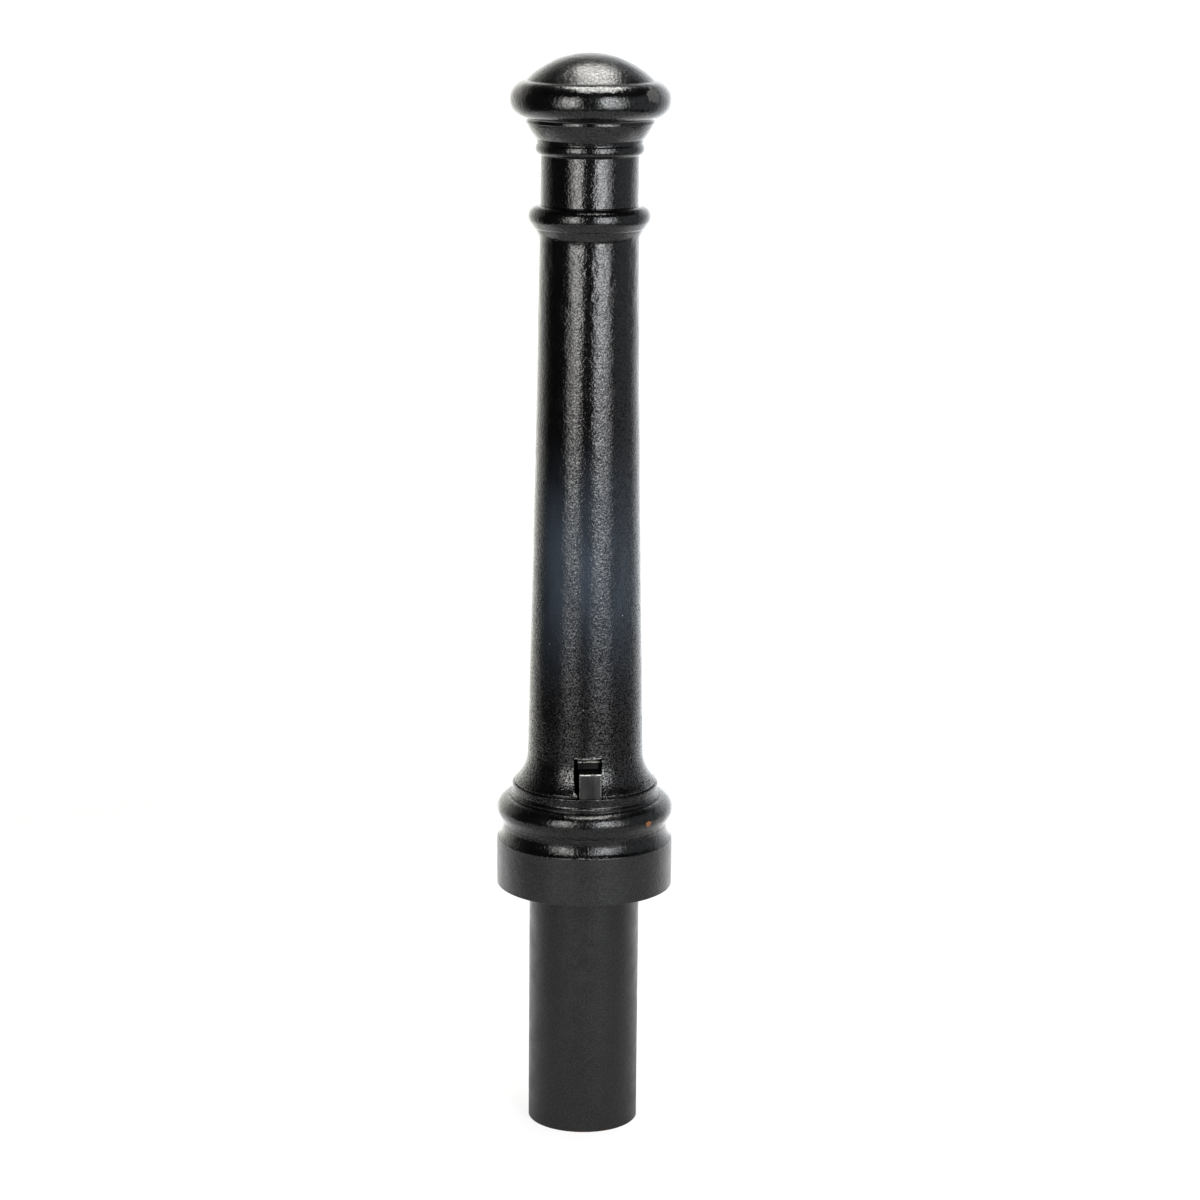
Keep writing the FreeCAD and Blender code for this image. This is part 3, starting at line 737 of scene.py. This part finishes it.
def window_lip_chips_and_highlight(nodes):
    """Pale grey along the window's top edge and at its lower left corner: chipped paint, with a painted
    highlight where the lip catches the light.
    """
    middle = (WINDOW_LEFT + WINDOW_RIGHT) / 2
    half = (WINDOW_RIGHT - WINDOW_LEFT) / 2
    aside = nodes.math("ABSOLUTE", nodes.plus(nodes.x, -middle * MM))
    across = nodes.remap(aside, (half - 1.5) * MM, half * MM, 1.0, 0.0)
    in_front = nodes.remap(nodes.y, -0.05, -0.06)
    along_top = nodes.band(WINDOW_TOP * MM, (WINDOW_TOP + 1.6) * MM, 0.0005)
    ragged = nodes.remap(nodes.noise(0.0022, 2.0), 0.42, 0.58)
    slope_middle = ((NOTCH_LEFT - 2) * MM, -81.5 * MM, (NOTCH_TOP + SLOPE_TOP) / 2 * MM)
    corner = nodes.near(slope_middle, 0.0032, 0.6, 0.002)
    # chipped paint plus painted highlight along the lip and at the lower left corner
    marks = nodes.plus(nodes.times(across, in_front, along_top), nodes.times(corner, 0.35))
    return nodes.times(marks, ragged)


def dust_specks(nodes):
    """Small light specks on the lower half of the shaft."""
    specks = nodes.remap(nodes.cells(0.022), 0.025, 0.045, 1.0, 0.0)
    return nodes.times(specks, nodes.band(0.22, 0.48, 0.05))


def casting_colour(nodes, dull, scuff, rust):
    """Black paint with a front haze, a dusty collar, a scuff, a rust spot, light specks, and chips on
    the window's lip that carry a painted highlight.
    """
    cloudy = nodes.noise(0.05, 3.0)
    colour = nodes.mix(nodes.remap(cloudy, 0.35, 0.75), BLACK_PAINT, DUSTY_PAINT)
    front = nodes.remap(nodes.y, -0.01, -0.05)
    streaks = nodes.remap(nodes.noise(0.03, 3.0, (1, 1, 0.25)), 0.2, 0.6, 0.35, 1.0)
    haze = nodes.times(nodes.band(HAZE_BOTTOM, HAZE_TOP, HAZE_FADE), streaks, front)
    colour = nodes.mix(haze, colour, HAZE)
    colour = nodes.mix(dull, colour, GREY_DUST)
    colour = nodes.mix(nodes.times(scuff, 0.8), colour, SCUFF)
    colour = nodes.mix(rust, colour, RUST)
    # pale grey on the window's lip is chipped paint and painted highlight; the specks are small light
    # marks
    lip_marks_and_specks = nodes.plus(window_lip_chips_and_highlight(nodes), nodes.times(dust_specks(nodes), front, 0.5))
    nodes.set(Base_Color=nodes.mix(lip_marks_and_specks, colour, PALE_MARK_AND_HIGHLIGHT))


def casting_gloss(nodes, dull, scuff, rust):
    """Roughness and shine, with fine grains that are strongest low on the shaft."""
    dome = nodes.remap(nodes.level, 0.962, 0.972)
    sandy = nodes.band((LEDGE + 3) * MM, 0.30, 0.04)
    matt = nodes.remap(nodes.level, 0.06, 0.9, 0.17, 0.14, "LINEAR")
    matt = nodes.plus(matt, nodes.times(dull, 0.14), nodes.times(dome, 0.12), nodes.times(sandy, 0.06))
    uneven = nodes.remap(nodes.noise(0.02, 4.0), 0.3, 0.7, -0.04, 0.05, "LINEAR")
    marks = nodes.times(nodes.math("MAXIMUM", scuff, rust), 0.4)
    nodes.set(Roughness=nodes.plus(matt, uneven, marks))

    grains = nodes.remap(nodes.noise(0.0019, 2.0), 0.38, 0.62, -0.45, 0.45, "LINEAR")
    calmer = nodes.times(
        nodes.remap(nodes.level, 0.3, 0.75, 1.0, 0.5),
        nodes.remap(nodes.level, (LEDGE - 8) * MM, (LEDGE + 4) * MM, 0.45, 1.0),
        nodes.remap(dull, 0.0, 1.0, 1.0, 0.6))
    shine = nodes.remap(nodes.level, 0.50, 0.82, 0.47, 0.55)
    nodes.set(Specular_IOR_Level=nodes.plus(shine, nodes.times(grains, calmer)))


def casting_relief(nodes):
    """Pebbles and pits of a sand-cast skin."""
    pebbles = nodes.remap(nodes.noise(0.0032, 2.0, distortion=0.3), 0.30, 0.70)
    pits = nodes.remap(nodes.cells(0.011), 0.04, 0.16)
    nodes.bump([
        (nodes.noise(0.012, 1.0), 0.00022),
        (pits, 0.00006),
        (pebbles, 0.00012),
        (nodes.noise(0.0012, 1.0), 0.00005),
    ])


def casting_paint():
    """Glossy black paint over the pebbled skin of a sand casting."""
    nodes = Nodes("casting_paint")
    dull = nodes.remap(nodes.level, (COLLAR_TOP - 1.5) * MM, COLLAR_TOP * MM, 1.0, 0.0)
    scuff = nodes.near(on_surface(93.5, math.radians(47), 956), 0.011, 0.5, 0.006)
    rust = nodes.near(on_surface(105.4, math.radians(42), 93.5), 0.0042, 0.5, 0.002)
    casting_colour(nodes, dull, scuff, rust)
    casting_gloss(nodes, dull, scuff, rust)
    casting_relief(nodes)
    return nodes.material


def root_paint():
    """Satin grey-black paint on the root tube, with fine pits."""
    nodes = Nodes("root_paint")
    cloudy = nodes.noise(0.03, 4.0, (1, 1, 0.3))
    colour = nodes.mix(nodes.remap(cloudy, 0.3, 0.7), BLACK_PAINT, DUSTY_PAINT)
    rim = nodes.remap(nodes.level, ROOT_FOOT * MM, (ROOT_FOOT + 2.2) * MM, 1.0, 0.0)
    patchy = nodes.remap(nodes.noise(0.006, 3.0), 0.42, 0.58)
    rust = nodes.times(rim, patchy, 0.7)
    nodes.set(Base_Color=nodes.mix(rust, colour, RUST))
    nodes.set(Roughness=nodes.remap(nodes.noise(0.02, 4.0), 0.3, 0.7, 0.30, 0.46, "LINEAR"))
    grains = nodes.remap(nodes.noise(0.0016, 2.0), 0.36, 0.64, 0.40, 0.62, "LINEAR")
    nodes.set(Specular_IOR_Level=grains)
    pits = nodes.remap(nodes.cells(0.014), 0.03, 0.10)
    nodes.bump([
        (pits, 0.00012),
        (nodes.noise(0.0028, 2.0), 0.00022),
        (nodes.noise(0.0010, 2.0), 0.00012),
    ])
    return nodes.material


def tab_paint():
    """Dark paint of the thumb tab: rubbed in upright streaks in front, lighter beside the middle as a
    painted reflection, and pale grey painted highlights along its edges.
    """
    nodes = Nodes("tab_paint")
    streaks = nodes.noise(0.006, 3.0, (1, 1, 0.15))
    face = nodes.remap(nodes.y, (TAB_FRONT + 1.6) * MM, (TAB_FRONT + 3) * MM, 1.0, 0.0)
    near_face = nodes.remap(nodes.y, (TAB_FRONT + 3) * MM, (TAB_FRONT + 4) * MM, 1.0, 0.0)
    aside = nodes.math("ABSOLUTE", nodes.x)
    # the face is lighter beside its middle than in it: painted reflection over the rubbed streaks
    beside = nodes.remap(aside, 0.0035, 0.0055, 0.35, 1.0)
    rubbed_and_lit_face = nodes.times(nodes.remap(streaks, 0.3, 0.7, 0.3, 1.0), face, beside)
    colour = nodes.mix(rubbed_and_lit_face, BLACK_PAINT, RUBBED_AND_LIT_GREY)
    # pale grey along the tab's side and top edges and the stem's top edge: painted highlights, stronger
    # on the right
    right_edge = nodes.remap(nodes.x, (TAB_SIDE - 1.6) * MM, (TAB_SIDE - 1.1) * MM)
    left_edge = nodes.remap(nodes.x, (0.9 - TAB_SIDE) * MM, (1.3 - TAB_SIDE) * MM, 1.0, 0.0)
    side_edge = nodes.times(nodes.plus(right_edge, nodes.times(left_edge, 0.5)), near_face)
    top_edge = nodes.times(nodes.remap(nodes.level, (TAB_TOP - 1.3) * MM, (TAB_TOP - 0.7) * MM), face)
    stem_edge = nodes.remap(nodes.level, (STEM_TOP - 1.8) * MM, (STEM_TOP - 1.0) * MM)
    ragged = nodes.remap(nodes.noise(0.003, 2.0), 0.38, 0.56)
    edges = nodes.plus(nodes.times(side_edge, 0.35), nodes.math("MAXIMUM", top_edge, stem_edge))
    nodes.set(Base_Color=nodes.mix(nodes.times(edges, ragged), colour, PALE_MARK_AND_HIGHLIGHT))
    uneven = nodes.remap(nodes.noise(0.004, 3.0), 0.3, 0.7, 0.0, 0.12, "LINEAR")
    nodes.set(Roughness=nodes.plus(0.30, uneven))
    nodes.set(Specular_IOR_Level=nodes.remap(face, 0.0, 1.0, 0.12, 0.42))
    nodes.bump([(nodes.noise(0.005, 2.0, (1, 1, 0.3)), 0.0003), (nodes.noise(0.001, 1.0), 0.00005)])
    return nodes.material


def metal(name, colour, darker, rough_low, rough_high, grain):
    """Bare or plated metal with fine wear."""
    nodes = Nodes(name)
    patches = nodes.remap(nodes.noise(0.012, 4.0), 0.35, 0.65)
    nodes.set(Base_Color=nodes.mix(patches, colour, darker), Metallic=1.0)
    nodes.set(Roughness=nodes.remap(nodes.noise(0.006, 4.0), 0.3, 0.7, rough_low, rough_high, "LINEAR"))
    nodes.bump([(nodes.noise(0.006, 2.0), 0.0002), (nodes.noise(grain, 3.0), 0.0001)])
    return nodes.material


def rubber():
    """Black rubber of the gasket."""
    nodes = Nodes("gasket_rubber_black")
    patches = nodes.remap(nodes.noise(0.01, 4.0), 0.3, 0.7)
    nodes.set(Base_Color=nodes.mix(patches, (0.012, 0.012, 0.012, 1), (0.025, 0.024, 0.023, 1)))
    nodes.set(Roughness=nodes.remap(nodes.noise(0.004, 3.0), 0.3, 0.7, 0.65, 0.85, "LINEAR"))
    nodes.bump([(nodes.noise(0.0015, 2.0), 0.0001)])
    return nodes.material


# ---------------------------------------------------------------- dressing the model
paint = casting_paint()
root_finish = root_paint()
cap = turned_piece("cap_iron", CAP_OUTSIDE, CAP_INSIDE, 300, (0.45, 2.0), paint, cast_skin)
column = column_piece(paint)
base = turned_piece("base_iron", BASE_OUTSIDE, BASE_INSIDE, 330, (0.4, 2.0), paint, cast_skin)
root = turned_piece("root_pipe", ROOT_OUTSIDE, ROOT_INSIDE, 200, (0.4, 2.2), root_finish, tube_skin)
tab = tab_piece(tab_paint())
spring_steel = metal("spring_wire", (0.30, 0.29, 0.28, 1), (0.16, 0.15, 0.15, 1), 0.3, 0.5, 0.002)
spring = spring_coil(spring_steel)

for piece, node, body, slot in (
    (cap, "cap_casting", "post", "painted_casting"),
    (column, "column_casting", "post", "painted_casting"),
    (base, "base_casting", "post", "painted_casting"),
    (root, "root_tube", "post", "painted_root"),
    (tab, "thumb_tab", "locking_bolt", "painted_tab"),
    (spring, "return_spring", "post", "spring_steel"),
):
    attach(piece, body)
    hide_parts(node)

plated = metal("zinc_plate", (0.55, 0.55, 0.54, 1), (0.40, 0.40, 0.40, 1), 0.3, 0.5, 0.003)
bright = metal("ground_steel", (0.50, 0.49, 0.48, 1), (0.36, 0.35, 0.34, 1), 0.25, 0.42, 0.002)
bronze = metal("bush_metal", (0.60, 0.40, 0.18, 1), (0.42, 0.27, 0.12, 1), 0.3, 0.5, 0.002)
FINISHES = {
    "cap_gasket": rubber(),
    "locking_rod": bright,
    "upper_rod_bush": bronze,
    "lower_rod_bush": bronze,
    "root_plate": root_finish,
    "foot_ring": root_finish,
}
for name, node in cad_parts.items():
    node.data.materials.clear()
    node.data.materials.append(FINISHES.get(name, plated))

# ---------------------------------------------------------------- camera
CAMERA_AZIMUTH = math.radians(-4.8)
CAMERA_DISTANCE = 3.981
CAMERA_HEIGHT = 1.2265
CAMERA_PITCH = math.radians(12.4)
CAMERA_ROLL = math.radians(0.52)
CAMERA_ASIDE = 0.0163
CAMERA_LENS = 102
SENSOR_WIDTH = 36


def around(azimuth, distance, height):
    """Place round the post. Azimuth 0 is in front, towards -Y."""
    return Vector((distance * math.sin(azimuth), -distance * math.cos(azimuth), height))


def add_camera():
    """Camera at the photograph's viewing angle: a little left of the front, looking down."""
    data = bpy.data.cameras.new("camera")
    data.lens = CAMERA_LENS
    data.sensor_width = SENSOR_WIDTH
    data.clip_end = 100
    camera = bpy.data.objects.new("camera", data)
    bpy.context.scene.collection.objects.link(camera)
    level_ahead = -around(CAMERA_AZIMUTH, 1, 0)
    ahead = level_ahead * math.cos(CAMERA_PITCH) + Vector((0, 0, -math.sin(CAMERA_PITCH)))
    right = ahead.cross(Vector((0, 0, 1))).normalized()
    up = right.cross(ahead)
    rolled_right = right * math.cos(CAMERA_ROLL) + up * math.sin(CAMERA_ROLL)
    rolled_up = up * math.cos(CAMERA_ROLL) - right * math.sin(CAMERA_ROLL)
    place = around(CAMERA_AZIMUTH, CAMERA_DISTANCE, CAMERA_HEIGHT) + right * CAMERA_ASIDE
    axes = Matrix((rolled_right, rolled_up, -ahead)).transposed().to_4x4()
    camera.matrix_world = Matrix.Translation(place) @ axes
    bpy.context.scene.camera = camera


# ---------------------------------------------------------------- studio
def softbox(name, start, end, bottom, top, radiance, colour):
    """Upright light box round the post, between two azimuths from the camera and two heights."""
    distance = 2.2
    azimuth = CAMERA_AZIMUTH + math.radians((start + end) / 2)
    width = 2 * distance * math.tan(math.radians(abs(end - start)) / 2)
    place = around(azimuth, distance, (bottom + top) / 2)
    area_light(name, place, -around(azimuth, 1, 0), width, top - bottom, radiance, colour)


def area_light(name, place, aim, width, tall, radiance, colour):
    """Rectangular light that gives the same radiance all over, turned along `aim`."""
    data = bpy.data.lights.new(name, "AREA")
    data.shape = "RECTANGLE"
    data.size = width
    data.size_y = tall
    data.energy = radiance * math.pi * width * tall
    data.color = colour
    light = bpy.data.objects.new(name, data)
    light.matrix_world = Matrix.Translation(place) @ aim.to_track_quat("-Z", "Y").to_matrix().to_4x4()
    light.visible_camera = False
    bpy.context.scene.collection.objects.link(light)


def add_lights():
    """A stack of boxes on each side in front, dimmer downwards and outwards, and two more.

    The two are a weak one on the right and one overhead. Each row of a stack is its name, the
    azimuths and levels that it lies between, and its radiance.
    """
    floor_level = ROOT_FOOT * MM
    main_bottom, main_top = 0.30, 2.4
    for side, sign, inner, outer, strength, colour in (
        ("right", 1, 15, 52, 1.15, (0.96, 0.98, 1)),
        ("left", -1, 16.5, 46, 1.0, (1, 0.99, 0.96)),
    ):
        middle = inner + 0.62 * (outer - inner)
        low_inner = inner - 8
        for name, start, end, bottom, top, radiance in (
            ("box", inner, middle, main_bottom, main_top, 7.4),
            ("outer_box", middle, outer, main_bottom, main_top, 3.0),
            ("middle_box", inner, outer, 0.0, main_bottom, 2.3),
            ("low_box", low_inner, outer, floor_level, 0.0, 1.1),
        ):
            brightness = radiance * strength
            softbox(side + "_" + name, sign * start, sign * end, bottom, top, brightness, colour)
    softbox("side_box", 60, 104, floor_level, 2.2, 0.4, (0.92, 0.96, 1))
    overhead = around(CAMERA_AZIMUTH + math.radians(140), 0.25, 2.7)
    downwards = Vector((0, 0, -1))
    area_light("top_box", overhead, downwards, 1.1, 1.5, 12.0, (1, 0.99, 0.95))


def add_world():
    """White backdrop behind the post, warmer on the left, with a dark room in front and above."""
    world = bpy.data.worlds.new("studio")
    bpy.context.scene.world = world
    world.use_nodes = True
    tree = world.node_tree
    background = tree.nodes["Background"]
    direction = tree.nodes.new("ShaderNodeTexCoord").outputs["Generated"]

    def along(axis):
        """How far the direction points along an axis."""
        product = tree.nodes.new("ShaderNodeVectorMath")
        product.operation = "DOT_PRODUCT"
        product.inputs[1].default_value = axis
        tree.links.new(direction, product.inputs[0])
        return product.outputs["Value"]

    def ramp(value, start, end, first, last):
        """Eased from `first` to `last` as the value goes from start to end."""
        node = tree.nodes.new("ShaderNodeMapRange")
        node.interpolation_type = "SMOOTHSTEP"
        limits = (("From Min", start), ("From Max", end), ("To Min", first), ("To Max", last))
        for name, number in limits:
            node.inputs[name].default_value = number
        tree.links.new(value, node.inputs["Value"])
        return node.outputs[0]

    room, backdrop, seen_backdrop = 0.03, 2.1, 1.1
    behind = ramp(along(-around(CAMERA_AZIMUTH, 1, 0)), 0.1, 0.95, room, backdrop)
    low_enough = ramp(along((0, 0, 1)), 0.30, 0.70, 1.0, 0.04)
    reflected = tree.nodes.new("ShaderNodeMath")
    reflected.operation = "MULTIPLY"
    tree.links.new(behind, reflected.inputs[0])
    tree.links.new(low_enough, reflected.inputs[1])
    seen = tree.nodes.new("ShaderNodeLightPath")
    strength = tree.nodes.new("ShaderNodeMix")
    strength.inputs["B"].default_value = seen_backdrop
    tree.links.new(seen.outputs["Is Camera Ray"], strength.inputs["Factor"])
    tree.links.new(reflected.outputs[0], strength.inputs["A"])
    tree.links.new(strength.outputs[0], background.inputs["Strength"])
    tint = tree.nodes.new("ShaderNodeValToRGB")
    tint.color_ramp.elements[0].color = (1, 0.99, 0.93, 1)
    tint.color_ramp.elements[1].color = (0.94, 0.97, 1, 1)
    tree.links.new(ramp(along((1, 0, 0)), -0.4, 0.4, 0.0, 1.0), tint.inputs["Fac"])
    tree.links.new(tint.outputs["Color"], background.inputs["Color"])


def add_floor():
    """Plain pale floor under the root's lower end."""
    radius = 1.6
    work = bmesh.new()
    bmesh.ops.create_circle(work, cap_ends=True, segments=96, radius=radius)
    mesh = bpy.data.meshes.new("floor")
    work.to_mesh(mesh)
    work.free()
    floor = bpy.data.objects.new("floor", mesh)
    floor.location.z = ROOT_FOOT * MM
    bpy.context.scene.collection.objects.link(floor)
    nodes = Nodes("floor_white")
    seen = nodes.add("ShaderNodeLightPath").outputs["Is Camera Ray"]
    nodes.set(Base_Color=(0.2, 0.2, 0.2, 1), Roughness=0.9, Emission_Color=(1, 1, 1, 1))
    seen_glow, front_glow, back_glow = 0.8, 0.34, 1.5
    glow = nodes.remap(nodes.y, -0.2, 0.9, front_glow, back_glow)
    for_camera = nodes.times(seen, nodes.math("SUBTRACT", seen_glow, glow))
    nodes.set(Emission_Strength=nodes.plus(glow, for_camera))
    mesh.materials.append(nodes.material)


add_camera()
add_lights()
add_world()
add_floor()
bpy.context.scene.view_settings.view_transform = "Standard"
